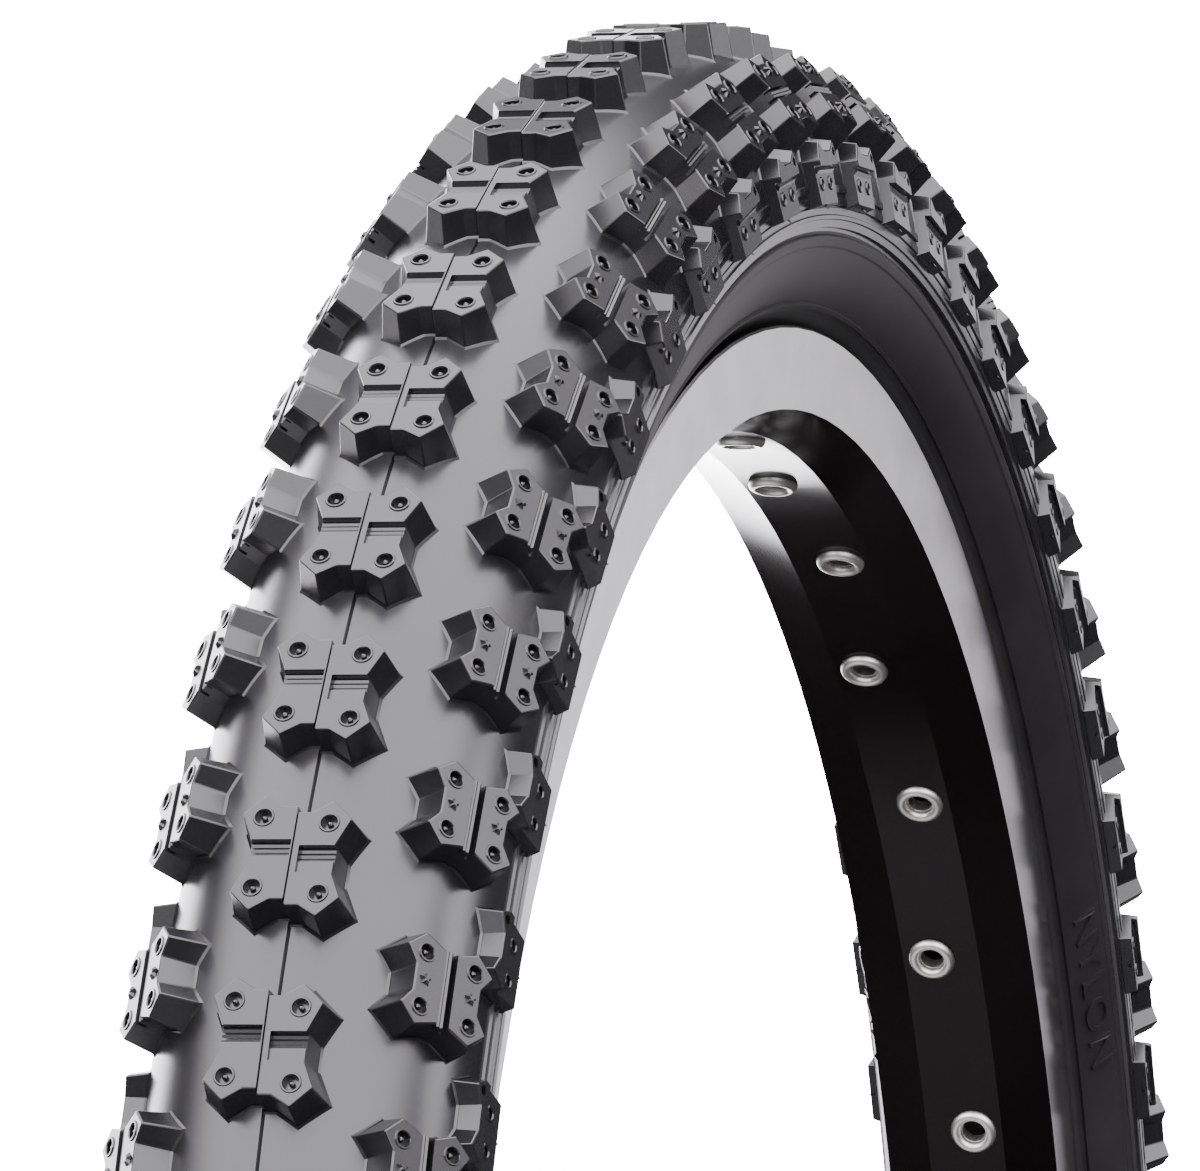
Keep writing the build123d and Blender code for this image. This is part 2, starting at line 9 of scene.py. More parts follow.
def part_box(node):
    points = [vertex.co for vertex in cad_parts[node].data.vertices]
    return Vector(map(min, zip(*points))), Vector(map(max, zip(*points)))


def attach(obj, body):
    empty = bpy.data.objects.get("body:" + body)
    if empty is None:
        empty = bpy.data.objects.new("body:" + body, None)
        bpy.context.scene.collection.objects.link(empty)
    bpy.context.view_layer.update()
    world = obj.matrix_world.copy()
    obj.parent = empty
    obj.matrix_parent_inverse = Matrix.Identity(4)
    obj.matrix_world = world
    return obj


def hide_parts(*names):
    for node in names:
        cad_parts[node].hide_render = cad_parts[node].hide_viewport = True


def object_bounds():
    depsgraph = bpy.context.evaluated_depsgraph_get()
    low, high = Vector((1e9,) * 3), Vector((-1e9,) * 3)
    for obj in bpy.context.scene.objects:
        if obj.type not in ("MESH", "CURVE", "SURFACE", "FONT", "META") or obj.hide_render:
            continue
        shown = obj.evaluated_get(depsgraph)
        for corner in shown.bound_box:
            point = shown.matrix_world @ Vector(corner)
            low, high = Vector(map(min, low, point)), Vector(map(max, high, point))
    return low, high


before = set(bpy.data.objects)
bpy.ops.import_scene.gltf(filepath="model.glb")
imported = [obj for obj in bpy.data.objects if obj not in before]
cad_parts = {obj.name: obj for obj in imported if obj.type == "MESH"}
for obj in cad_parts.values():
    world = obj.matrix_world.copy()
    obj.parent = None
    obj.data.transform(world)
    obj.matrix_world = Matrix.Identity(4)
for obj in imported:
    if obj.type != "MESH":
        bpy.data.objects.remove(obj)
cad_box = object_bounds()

# Looks of a twenty-inch knobbly bicycle tyre on its rim. Shapes are drawn in millimetres
# and scaled to metres by make_piece. The axle line is Y and the valve is at the bottom.
# A block is drawn flat: x along the tread, y across it, z out of the rubber.

MM = 0.001
BODY = "wheel"

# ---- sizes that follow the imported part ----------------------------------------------
CROWN_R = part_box("tread_base")[1].z / MM
HALF_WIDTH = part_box("tread_base")[1].y / MM
RIM_HALF_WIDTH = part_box("rim")[1].y / MM
FLOOR_Z = cad_box[0].z

CASING_HALF_HEIGHT = 22.4
CASING_CENTRE_R = CROWN_R - CASING_HALF_HEIGHT
TREAD_RUBBER = 2.0
SIDE_RUBBER = 1.0
TREAD_EDGE = 101.7
SIDEWALL_EDGE = 136.3
RIM_BED_R = 193.4
RIM_WALL_LEAN = 0.75

KNOB_COUNT = 60
KNOB_PHASE = 2.34
MOULD_SHIFT = 0.10
KNOB_HEIGHT = 4.1
EDGE_KNOB_HEIGHT = 2.7
KNOB_DRAFT = 0.55
SHOULDER_S = 19.6
SHOULDER_PHASE = 2.85
EDGE_S = 31.0
EDGE_PHASE = -0.40
SPOKE_COUNT = 36
SPOKE_PHASE = 15.5
SPOKE_STAGGER = 1.55

# ---- small details, in millimetres; a pin or dimple is (along, across, radius) ------
TOP_OVER = 1.0             # cutters reach this far above a block's top
THROUGH = 20.0             # half length of a cutter that runs right across a block
BEVEL = 0.2
BLOCK_ROOT = 1.6
EDGE_ROOT = 1.0
SEAM_GAPS = {-1: 0.9, 1: 0.25}
CENTRE_PIN = (5.2, 4.43, 1.15)
SHOULDER_PIN = (3.8, 3.85, 1.1)
EDGE_PIN = (2.6, 1.6, 0.8)
EDGE_DIMPLE = (3.9, -2.9, 0.7)
PIN_DEPTH = 0.9
PIN_RIM = 0.20             # thickness of the raised rim round a pin's hole
PIN_SIDES = 16
NUB_SIDES = 8
NUB = [(0.42, 1.0), (0.38, 0.25), (0.15, 0.1)]      # (radius, depth below the block's top)
EDGE_STEP = 1.0
STAR_POINTS = 5
STAR_R = (1.05, 0.5)
STAR_TOP = 0.45            # top outline of a star as a share of its foot
STAR_RISE = 0.5
STAR_S = 3.6
EYELET_BORE_R = 2.0
EYELET_BARREL_R = 2.5
EYELET_RIM_R = 2.95
EYELET_RIM_HALF = 0.9
EYELET_DOME = 1.1
EYELET_ROLL_R = 2.9        # lip rolled over inside the rim
EYELET_DEEP = (2.1, 2.4, 2.3)      # depth of its barrel, its bore's end and its lip
FLOOR_HALF = 1.6           # metres
SEEN_WORLD = 25.0          # brightness of the surroundings where the camera sees them

# half outlines, as (distance across the tread, distance along it) from the block's middle
CENTRE_OUTLINE = [(0.06, 6.85), (1.9, 6.85), (4.5, 8.5), (7.3, 5.8), (5.6, 1.9)]
SHOULDER_OUTLINE = [(0, 5.3), (1.2, 5.3), (4.2, 6.5), (6.8, 4.1), (5.15, 1.8)]
EDGE_OUTLINE = [(-3.2, 1.8), (-4.6, 4.2), (-2.0, 5.6), (4.4, 4.9)]


# ---- shells: (vertices, faces) in millimetres ---------------------------------------
def joined(shells):
    verts, faces = [], []
    for v, f in shells:
        start = len(verts)
        verts += [tuple(p) for p in v]
        faces += [tuple(i + start for i in face) for face in f]
    return verts, faces


def moved(shell, x=0.0, y=0.0, z=0.0):
    return [(a + x, b + y, c + z) for a, b, c in shell[0]], shell[1]


def lathe(profile, segments, closed=False):
    """Shell turned about z from (radius, height) points, capped at its ends unless closed."""
    verts = []
    for k in range(segments):
        a = 2 * math.pi * k / segments
        verts += [(r * math.cos(a), r * math.sin(a), z) for r, z in profile]
    n = len(profile)
    faces = []
    for k in range(segments):
        a = k * n
        b = (k + 1) % segments * n
        for i in range(n if closed else n - 1):
            j = (i + 1) % n
            faces.append((a + i, b + i, b + j, a + j))
    if not closed:
        faces.append(tuple(k * n for k in reversed(range(segments))))
        faces.append(tuple(k * n + n - 1 for k in range(segments)))
    return verts, faces


def ring(radius, thickness, height, segments=20, sides=6):
    """Torus standing on the block's top."""
    turns = [2 * math.pi * k / sides for k in range(sides)]
    profile = [(radius + thickness * math.cos(a), height + thickness * math.sin(a)) for a in turns]
    return lathe(profile, segments, closed=True)


def prism(points, low, high, axis):
    """Shell of a flat outline drawn out along an axis; the outline is in the other two."""
    place = {
        "x": lambda p, h: (h, p[0], p[1]),
        "y": lambda p, h: (p[0], h, p[1]),
        "z": lambda p, h: (p[0], p[1], h),
    }[axis]
    n = len(points)
    verts = [place(p, low) for p in points] + [place(p, high) for p in points]
    faces = [tuple(range(n)), tuple(range(2 * n - 1, n - 1, -1))]
    faces += [(i, i + n, (i + 1) % n + n, (i + 1) % n) for i in range(n)]
    return verts, faces


def tapered(outline, foot, low, high):
    """Shell between a foot outline and a top outline with as many points."""
    n = len(outline)
    verts = [(x, y, low) for x, y in foot] + [(x, y, high) for x, y in outline]
    faces = [tuple(reversed(range(n))), tuple(range(n, 2 * n))]
    faces += [(i, (i + 1) % n, (i + 1) % n + n, i + n) for i in range(n)]
    return verts, faces


def spread(points, amount):
    """Counter-clockwise outline moved outward, keeping its corners."""
    out = []
    for k, here in enumerate(points):
        before = Vector(points[k - 1])
        after = Vector(points[(k + 1) % len(points)])
        e1 = (Vector(here) - before).normalized()
        e2 = (after - Vector(here)).normalized()
        both = Vector((e1.y + e2.y, -e1.x - e2.x))
        out.append(tuple(Vector(here) + both * (amount / (1 + e1.dot(e2)))))
    return out


def ribs(low, high, floor, count, rise):
    """Zigzag points between two places, for a ribbed groove floor."""
    points = []
    for k in range(2 * count + 1):
        points.append((low + (high - low) * k / (2 * count), floor + rise * (k % 2)))
    return points


def to_object(shell, name):
    mesh = bpy.data.meshes.new(name)
    mesh.from_pydata([tuple(p) for p in shell[0]], [], shell[1])
    bm = bmesh.new()
    bm.from_mesh(mesh)
    bmesh.ops.recalc_face_normals(bm, faces=bm.faces)
    bm.to_mesh(mesh)
    bm.free()
    obj = bpy.data.objects.new(name, mesh)
    bpy.context.scene.collection.objects.link(obj)
    return obj


def carved(shell, cutters):
    """The shell with its edges eased, then cut by each of the other shells."""
    obj = to_object(shell, "block")
    ease = obj.modifiers.new("ease", "BEVEL")
    ease.width = BEVEL
    ease.segments = 2
    ease.limit_method = "ANGLE"
    tools = []
    for cutter in cutters:
        tool = to_object(cutter, "cutter")
        cut = obj.modifiers.new("cut", "BOOLEAN")
        cut.operation = "DIFFERENCE"
        cut.solver = "EXACT"
        cut.object = tool
        tools.append(tool)
    bpy.context.view_layer.update()
    graph = bpy.context.evaluated_depsgraph_get()
    mesh = bpy.data.meshes.new_from_object(obj.evaluated_get(graph))
    result = ([tuple(v.co) for v in mesh.vertices], [tuple(p.vertices) for p in mesh.polygons])
    for done in tools + [obj]:
        bpy.data.objects.remove(done)
    return result


# ---- the tyre's section -------------------------------------------------------------
TURN_STEP = 0.05           # degrees
TURNS = np.radians(np.arange(0, 150, TURN_STEP))
SPEEDS = np.hypot(CASING_HALF_HEIGHT * np.sin(TURNS), HALF_WIDTH * np.cos(TURNS))
STEPS = SPEEDS * np.radians(TURN_STEP)
WALKED = np.concatenate([[0], np.cumsum(STEPS)[:-1]])


def section_angle(s):
    """Angle from the crown, in radians, of a place s millimetres round the section."""
    return math.copysign(float(np.interp(abs(s), WALKED, TURNS)), s)


def section_point(angle, rise=0.0):
    """(radius, y) on the oval section, lifted out of the rubber by 'rise'."""
    r = CASING_CENTRE_R + CASING_HALF_HEIGHT * math.cos(angle)
    y = HALF_WIDTH * math.sin(angle)
    slope = (math.cos(angle) / CASING_HALF_HEIGHT, math.sin(angle) / HALF_WIDTH)
    normal = Vector(slope).normalized()
    return r + normal.x * rise, y + normal.y * rise


def inner_point(angle):
    r = CASING_CENTRE_R + (CASING_HALF_HEIGHT - TREAD_RUBBER) * math.cos(angle)
    return r, (HALF_WIDTH - SIDE_RUBBER) * math.sin(angle)


def turned(outline, segments=360):
    """Closed (radius, y) outline turned about the axle."""
    verts, faces = lathe(outline, segments, closed=True)
    return [(x, z, y) for x, y, z in verts], faces


def on_tread(shell, s, side):
    """A block's shell laid on the tread s millimetres round the section, at the wheel's top."""
    angle = section_angle(s)
    r, y = section_point(angle)
    slope = (math.sin(angle) / HALF_WIDTH, math.cos(angle) / CASING_HALF_HEIGHT)
    normal = Vector(slope).normalized()
    verts = []
    for a, b, c in shell[0]:
        across = y + b * normal.y + c * normal.x
        up = r - b * normal.x + c * normal.y
        verts.append((a, side * across, up))
    return verts, shell[1]


def around(shell, count, phase):
    """Copies of a shell at equal angles about the axle, the first 'phase' degrees from the top."""
    points = np.array(shell[0], float)
    shells = []
    for k in range(count):
        a = math.radians(phase + 360.0 * k / count)
        x = points[:, 0] * math.cos(a) + points[:, 2] * math.sin(a)
        z = points[:, 2] * math.cos(a) - points[:, 0] * math.sin(a)
        shells.append((np.stack([x, points[:, 1], z], axis=1).tolist(), shell[1]))
    return joined(shells)


# ---- materials ----------------------------------------------------------------------
MOTTLE_SCALE = 60
GRAIN_SCALE = 900
GRAIN_STRENGTH = 0.25
GRAIN_DEPTH = 0.00003


def new_material(name):
    material = bpy.data.materials.new(name)
    material.use_nodes = True
    return material, material.node_tree, material.node_tree.nodes["Principled BSDF"]


def link(tree, source, target):
    tree.links.new(source, target)


def noise(tree, scale, stretch=(1, 1, 1)):
    """Fine noise in the object's own space."""
    place = tree.nodes.new("ShaderNodeTexCoord")
    mapping = tree.nodes.new("ShaderNodeMapping")
    mapping.inputs["Scale"].default_value = stretch
    grain = tree.nodes.new("ShaderNodeTexNoise")
    grain.inputs["Scale"].default_value = scale
    grain.inputs["Detail"].default_value = 4.0
    link(tree, place.outputs["Object"], mapping.inputs["Vector"])
    link(tree, mapping.outputs["Vector"], grain.inputs["Vector"])
    return grain.outputs["Fac"]


def ramp(tree, value, low, high, at=(0.3, 0.7)):
    """Colours from low to high as the value goes between two places."""
    node = tree.nodes.new("ShaderNodeValToRGB")
    for element, place, colour in zip(node.color_ramp.elements, at, (low, high)):
        element.position = place
        element.color = (*colour, 1)
    link(tree, value, node.inputs["Fac"])
    return node.outputs["Color"]


def bump(tree, shader, value, strength, distance):
    node = tree.nodes.new("ShaderNodeBump")
    node.inputs["Strength"].default_value = strength
    node.inputs["Distance"].default_value = distance
    link(tree, value, node.inputs["Height"])
    link(tree, node.outputs["Normal"], shader.inputs["Normal"])


def rubber(name, dark, light, roughness, ior=1.5):
    material, tree, shader = new_material(name)
    shader.inputs["Roughness"].default_value = roughness
    shader.inputs["IOR"].default_value = ior
    mottle = noise(tree, MOTTLE_SCALE)
    link(tree, ramp(tree, mottle, dark, light), shader.inputs["Base Color"])
    bump(tree, shader, noise(tree, GRAIN_SCALE), GRAIN_STRENGTH, GRAIN_DEPTH)
    return material


def metal(name, dark, light, roughness, scale=400, stretch=(1, 1, 1)):
    material, tree, shader = new_material(name)
    shader.inputs["Metallic"].default_value = 1.0
    shader.inputs["Roughness"].default_value = roughness
    grain = noise(tree, scale, stretch=stretch)
    link(tree, ramp(tree, grain, dark, light), shader.inputs["Base Color"])
    return material


def plastic(name, dark, light, roughness, scale=200, ior=1.5):
    material, tree, shader = new_material(name)
    shader.inputs["Roughness"].default_value = roughness
    shader.inputs["IOR"].default_value = ior
    link(tree, ramp(tree, noise(tree, scale), dark, light), shader.inputs["Base Color"])
    return material


def brushed_silver():
    """Side wall of the rim, machined in rings about the axle."""
    material = metal("rim_silver", (0.52, 0.51, 0.52), (0.62, 0.61, 0.62), 0.21, 90, (1, 12, 1))
    tree = material.node_tree
    shader = tree.nodes["Principled BSDF"]
    shader.inputs["Anisotropic"].default_value = 0.4
    along = tree.nodes.new("ShaderNodeTangent")
    along.direction_type = "RADIAL"
    along.axis = "Y"
    link(tree, along.outputs["Tangent"], shader.inputs["Tangent"])
    return material


TREAD = rubber("tread_rubber", (0.004, 0.004, 0.005), (0.008, 0.008, 0.009), 0.27, 1.8)
SIDE = rubber("side_rubber", (0.007, 0.0055, 0.007), (0.011, 0.009, 0.011), 0.48)
CHAFER = rubber("chafer_rubber", (0.008, 0.008, 0.008), (0.013, 0.013, 0.013), 0.55)
TUBE = rubber("tube_rubber", (0.012, 0.012, 0.012), (0.020, 0.020, 0.020), 0.55)
RIM = plastic("rim_black", (0.0016, 0.0011, 0.0011), (0.0026, 0.0018, 0.0018), 0.13, 30, 1.26)
SILVER = brushed_silver()
EYELET = metal("eyelet_nickel", (0.90, 0.88, 0.82), (0.97, 0.95, 0.90), 0.42)
STEEL = metal("drawn_steel", (0.42, 0.40, 0.38), (0.55, 0.53, 0.50), 0.35)
BRASS = metal("valve_brass", (0.60, 0.50, 0.28), (0.74, 0.62, 0.36), 0.25)
CLOTH = plastic("nylon_casing", (0.16, 0.14, 0.11), (0.26, 0.23, 0.19), 0.80, 700)
TAPE = plastic("rim_tape", (0.06, 0.06, 0.06), (0.10, 0.10, 0.10), 0.60)
GASKET = plastic("red_gasket", (0.40, 0.04, 0.03), (0.52, 0.06, 0.05), 0.50)
CAP = plastic("cap_plastic", (0.014, 0.014, 0.014), (0.022, 0.022, 0.022), 0.45)


# ---- pieces -------------------------------------------------------------------------
SMOOTH_BELOW = 40          # degrees between faces that are shaded as one


def make_piece(name, shell, material, replaced=(), smooth=None):
    """A finished piece in metres that rides on the wheel and stands for its CAD nodes."""
    verts, faces = shell
    scaled = (np.array(verts, float) * MM).tolist()
    obj = to_object((scaled, faces), name)
    obj.data.materials.append(material)
    if smooth is not None:
        obj.data.shade_smooth()
        obj.data.set_sharp_from_angle(angle=math.radians(smooth))
    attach(obj, BODY)
    if replaced:
        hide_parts(*replaced)
    return obj


# Relief on the tyre's outside: (s from, s to, rise), the edges eased over a short way.
SEAM_HALF = 0.25
SEAM_DEPTH = 0.35
SIDE_RELIEF = [
    (32.6, 33.6, 0.35),
    (34.5, 35.5, 0.35),
    (35.9, 38.8, 0.30),
    (37.0, 37.5, 0.25),
    (38.9, 39.9, -0.35),
    (40.1, 41.7, 0.12),
    (51.1, 51.7, 0.45),
]
EASE = 0.15
WORD_SIZE = 8.0
WORD_RISE = 0.5
WORD_S = 46.6
WORD_TURN = 61.4


def relief(s):
    s = abs(s)
    rise = -SEAM_DEPTH * max(0.0, 1 - s / SEAM_HALF)
    for low, high, height in SIDE_RELIEF:
        into = min(s - low, high - s) / EASE
        rise += height * min(1.0, max(0.0, into + 1))
    return rise


def skin(start, end, fine=0.5):
    """Closed section of the rubber between two places round the oval, with its relief."""
    places = set(np.linspace(start, end, int((end - start) / fine) + 2))
    for low, high, _ in SIDE_RELIEF:
        for edge in (low - EASE, low, high, high + EASE):
            places |= {p for p in (edge, -edge) if start < p < end}
    places |= {p for p in (-SEAM_HALF, 0.0, SEAM_HALF) if start < p < end}
    outside = [section_point(section_angle(s), relief(s)) for s in sorted(places)]
    inside = [inner_point(section_angle(s)) for s in np.linspace(end, start, 24)]
    return outside + inside


def arc_length(degrees):
    return float(np.interp(math.radians(degrees), TURNS, WALKED))


def mirrored(outline):
    return [(r, -y) for r, y in outline]


def make_casing():
    edge = arc_length(TREAD_EDGE)
    foot = arc_length(SIDEWALL_EDGE)
    crown = turned(skin(-edge, edge))
    make_piece("tread_casing", crown, TREAD, ["tread_base"], SMOOTH_BELOW)
    wall = skin(edge, foot)
    for word, outline in (("left", wall), ("right", mirrored(wall))):
        replaced = [f"sidewall_{word}"]
        shell = turned(outline)
        make_piece(f"side_wall_{word}", shell, SIDE, replaced, SMOOTH_BELOW)


# ---- blocks -------------------------------------------------------------------------
FLASH_HEIGHT = 0.28
FLASH_STEP = 1.5
FLASH_SECTION = [(-0.15, 0.0), (0.12, FLASH_HEIGHT), (0.42, -0.1)]

# (place, depth below the block's top)
CHANNEL = [(-2.1, 0.40), (-0.3, 0.45)]
CHANNEL_RIBS = (-0.3, 1.9, 0.95, 3, 0.16)
SIPE_LOW_SIDE = [(-0.95, 1.3), (-0.7, 1.3)]
SIPE_HIGH_SIDE = [(0.45, 1.6), (0.95, 1.6)]
SIPE_RIBS = (-0.7, 0.45, 0.45, 2, 0.2)
SHELF = (-0.9, -1.2, 8.0)  # top of its wall, foot of its wall, and past the block's end
RIDGE = [(-1.0, 0.0), (0.1, 0.0), (-0.4, -0.45)]
RIDGE_HALF = 4.8
WHISKER = [(0.34, 0), (0.30, 0.9), (0.16, 1.5)]
WHISKER_FOOT = (4.2, 0.5)


def pin_hole(x, y, height, radius):
    """Cutter for a pin's hole in a block's top."""
    wall = [(radius, height - PIN_DEPTH), (radius, height + TOP_OVER)]
    return moved(lathe(wall, PIN_SIDES), x, y)


def pin_mark(x, y, height, radius):
    """Raised rim round a pin's hole, and the nub standing in it."""
    rim = ring(radius + PIN_RIM / 2, PIN_RIM, height)
    nub = lathe([(r, height - drop) for r, drop in NUB], NUB_SIDES)
    return moved(joined([rim, nub]), x, y)


def star(x, y, height):
    """Small star-shaped nub on a block's top."""
    foot, top = [], []
    for k in range(2 * STAR_POINTS):
        a = math.pi * k / STAR_POINTS
        r = STAR_R[k % 2]
        foot.append((x + r * math.cos(a), y + r * math.sin(a)))
        top.append((x + STAR_TOP * r * math.cos(a), y + STAR_TOP * r * math.sin(a)))
    return tapered(top, foot, height - 0.05, height + STAR_RISE)


def flash(loop):
    """Thin bead of flash on the casing round a block's foot, following the casing's curve."""
    fine = []
    for k, start in enumerate(loop):
        end = loop[(k + 1) % len(loop)]
        count = max(1, round(math.dist(start, end) / FLASH_STEP))
        fine += [tuple(Vector(start).lerp(Vector(end), i / count)) for i in range(count)]
    lines = []
    for beyond, rise in FLASH_SECTION:
        line = []
        for x, y in spread(fine, KNOB_DRAFT + beyond):
            drop = x * x / (2 * CROWN_R) + y * y / (2 * HALF_WIDTH)
            line.append((x, y, rise - drop))
        lines.append(line)
    n = len(fine)
    faces = []
    for a in range(3):
        b = (a + 1) % 3
        for k in range(n):
            m = (k + 1) % n
            faces.append((a * n + k, a * n + m, b * n + m, b * n + k))
    return lines[0] + lines[1] + lines[2], faces


def drafted(loop, height, root):
    share = (height + root) / height
    return tapered(loop, spread(loop, KNOB_DRAFT * share), -root, height)


def sunk(points, top):
    """Places and depths below a block's top, as places and heights."""
    return [(place, top - depth) for place, depth in points]


def ribbed(spec, top):
    """Ribbed floor from (start, end, depth, count, rise) below a block's top."""
    low, high, depth, count, rise = spec
    return ribs(low, high, top - depth, count, rise)


def centre_half(seam_gap):
    """One mould half of a centre block, on the +Y side of the seam."""
    h = KNOB_HEIGHT
    loop = [(t, s) for s, t in CENTRE_OUTLINE]
    loop += [(-t, s) for t, s in reversed(loop)]
    body = drafted(loop, h, BLOCK_ROOT)
    seam = CENTRE_OUTLINE[0][0]
    body = ([(x, max(y, seam), z) for x, y, z in body[0]], body[1])
    channel = [(CHANNEL[0][0], h + TOP_OVER)] + sunk(CHANNEL, h)
    channel += ribbed(CHANNEL_RIBS, h) + [(CHANNEL_RIBS[1], h + TOP_OVER)]
    along, across, radius = CENTRE_PIN
    holes = joined([pin_hole(x, across, h, radius) for x in (-along, along)])
    cut = carved(body, [prism(channel, seam_gap, THROUGH, "y"), holes])
    marks = [pin_mark(x, across, h, radius) for x in (-along, along)]
    return joined([cut, flash_of_half(loop)] + marks)


def flash_of_half(loop):
    """The flash of one mould half, which stops at the seam."""
    verts, faces = flash(loop)
    return [(x, max(y, CENTRE_OUTLINE[0][0]), z) for x, y, z in verts], faces


def shoulder_block():
    h = KNOB_HEIGHT
    quarter = [(t, s) for s, t in SHOULDER_OUTLINE]
    out = [p for p in quarter if p[1] > 0]
    loop = [quarter[0]] + out + [(-t, s) for t, s in reversed(out)] + [(-quarter[0][0], 0)]
    loop += [(-t, -s) for t, s in out] + [(t, -s) for t, s in reversed(out)]
    body = drafted(loop, h, BLOCK_ROOT)
    sipe = [(SIPE_LOW_SIDE[0][0], h + TOP_OVER)] + sunk(SIPE_LOW_SIDE, h)
    sipe += ribbed(SIPE_RIBS, h) + sunk(SIPE_HIGH_SIDE, h)
    sipe += [(SIPE_HIGH_SIDE[-1][0], h + TOP_OVER)]
    along, across, radius = SHOULDER_PIN
    spots = [(x, y) for x in (-along, along) for y in (-across, across)]
    holes = joined([pin_hole(x, y, h, radius) for x, y in spots])
    cut = carved(body, [prism(sipe, -THROUGH, THROUGH, "x"), holes])
    marks = [pin_mark(x, y, h, radius) for x, y in spots]
    stars = [star(0, y, h) for y in (-STAR_S, STAR_S)]
    return joined([cut, flash(loop)] + marks + stars)


def edge_block():
    h = EDGE_KNOB_HEIGHT
    low = h - EDGE_STEP
    loop = [(t, s) for s, t in EDGE_OUTLINE]
    loop += [(-t, s) for t, s in reversed(loop)]
    body = drafted(loop, h, EDGE_ROOT)
    wall_top, wall_foot, past = SHELF
    shelf = [(wall_top, h + TOP_OVER), (wall_foot, low), (past, low), (past, h + TOP_OVER)]
    along, across, radius = EDGE_PIN
    holes = joined([pin_hole(x, across, low, radius) for x in (-along, along)])
    x, y, dimple_radius = EDGE_DIMPLE
    dimple = pin_hole(x, y, h, dimple_radius)
    cut = carved(body, [prism(shelf, -THROUGH, THROUGH, "x"), holes, dimple])
    marks = [pin_mark(x, across, low, radius) for x in (-along, along)]
    ridge = prism(sunk(RIDGE, low), -RIDGE_HALF, RIDGE_HALF, "x")
    return joined([cut, flash(loop), ridge, whisker()] + marks)


def whisker():
    """Stub of rubber left by a mould's vent, leaning outward from the block's outer wall."""
    verts, faces = lathe(WHISKER, NUB_SIDES)
    across, up = WHISKER_FOOT
    return [(x, across + z * 0.8, up + z * 0.6 + y * 0.7) for x, y, z in verts], faces


def raised_word(text, size, rise):
    """Shell of a moulded word, centred, its letters upright along y and raised along z."""
    curve = bpy.data.curves.new("word", "FONT")
    curve.body = text
    curve.size = size
    curve.extrude = rise
    curve.align_x = "CENTER"
    curve.align_y = "CENTER"
    curve.space_character = 1.15
    source = bpy.data.objects.new("word", curve)
    bpy.context.scene.collection.objects.link(source)
    bpy.context.view_layer.update()
    mesh = bpy.data.meshes.new_from_object(source)
    shell = ([tuple(v.co) for v in mesh.vertices], [tuple(f.vertices) for f in mesh.polygons])
    bpy.data.objects.remove(source)
    return shell


def on_side_wall(shell, s, degrees, side):
    """A word laid on the side wall, read from outside with its letters' tops outward."""
    radius = section_point(section_angle(s))[0]
    verts = []
    for x, y, z in shell[0]:
        turn = math.radians(degrees) - side * x / radius
        r, across = section_point(section_angle(s - y), z)
        verts.append((r * math.sin(turn), side * across, r * math.cos(turn)))
    return verts, shell[1]


def make_lettering():
    """The fibre's name, the only word kept, moulded twice on each side wall."""
    word = raised_word("NYLON", WORD_SIZE, WORD_RISE)
    for name, side in (("left", 1), ("right", -1)):
        words = [on_side_wall(word, WORD_S, WORD_TURN + half, side) for half in (0, 180)]
        make_piece(f"side_word_{name}", joined(words), SIDE)


def make_blocks():
    halves = []
    for side in (1, -1):
        half = on_tread(centre_half(SEAM_GAPS[side]), 0, side)
        halves.append(around(half, KNOB_COUNT, KNOB_PHASE + side * MOULD_SHIFT))
    make_piece("centre_blocks", joined(halves), TREAD, ["center_knobs"])
    rows = (
        ("shoulder", shoulder_block(), SHOULDER_S, SHOULDER_PHASE),
        ("edge", edge_block(), EDGE_S, EDGE_PHASE),
    )
    for name, shell, s, phase in rows:
        for word, side in (("left", 1), ("right", -1)):
            placed = on_tread(shell, s, side)
            row = around(placed, KNOB_COUNT, KNOB_PHASE + phase + side * MOULD_SHIFT)
            replaced = [f"{name}_knobs_{word}"]
            make_piece(f"{name}_blocks_{word}", row, TREAD, replaced)


# ---- eyelets, valve and the CAD pieces that show ------------------------------------
def make_eyelets():
    """Domed tubular rivets round the spoke bed."""
    face = RIM_BED_R - 0.05
    profile = [(EYELET_BARREL_R, face + EYELET_DEEP[0]), (EYELET_BARREL_R, face)]
    for k in range(13):
        a = math.radians(-10 + 200 * k / 12)
        r = EYELET_RIM_R + EYELET_RIM_HALF * math.cos(a)
        profile.append((r, face - EYELET_DOME * math.sin(a)))
    profile += [(EYELET_BORE_R, face + 0.2), (EYELET_BORE_R, face + EYELET_DEEP[1])]
    profile += [(EYELET_ROLL_R, face + EYELET_DEEP[2])]
    for word, side, first in (("left", 1, 0), ("right", -1, 1)):
        one = lathe(profile, 28, closed=True)
        placed = moved(one, y=side * SPOKE_STAGGER)
        row = around(placed, SPOKE_COUNT // 2, SPOKE_PHASE + first * 360.0 / SPOKE_COUNT)
        replaced = [f"eyelets_{word}"]
        make_piece(f"eyelet_rings_{word}", row, EYELET, replaced, SMOOTH_BELOW)


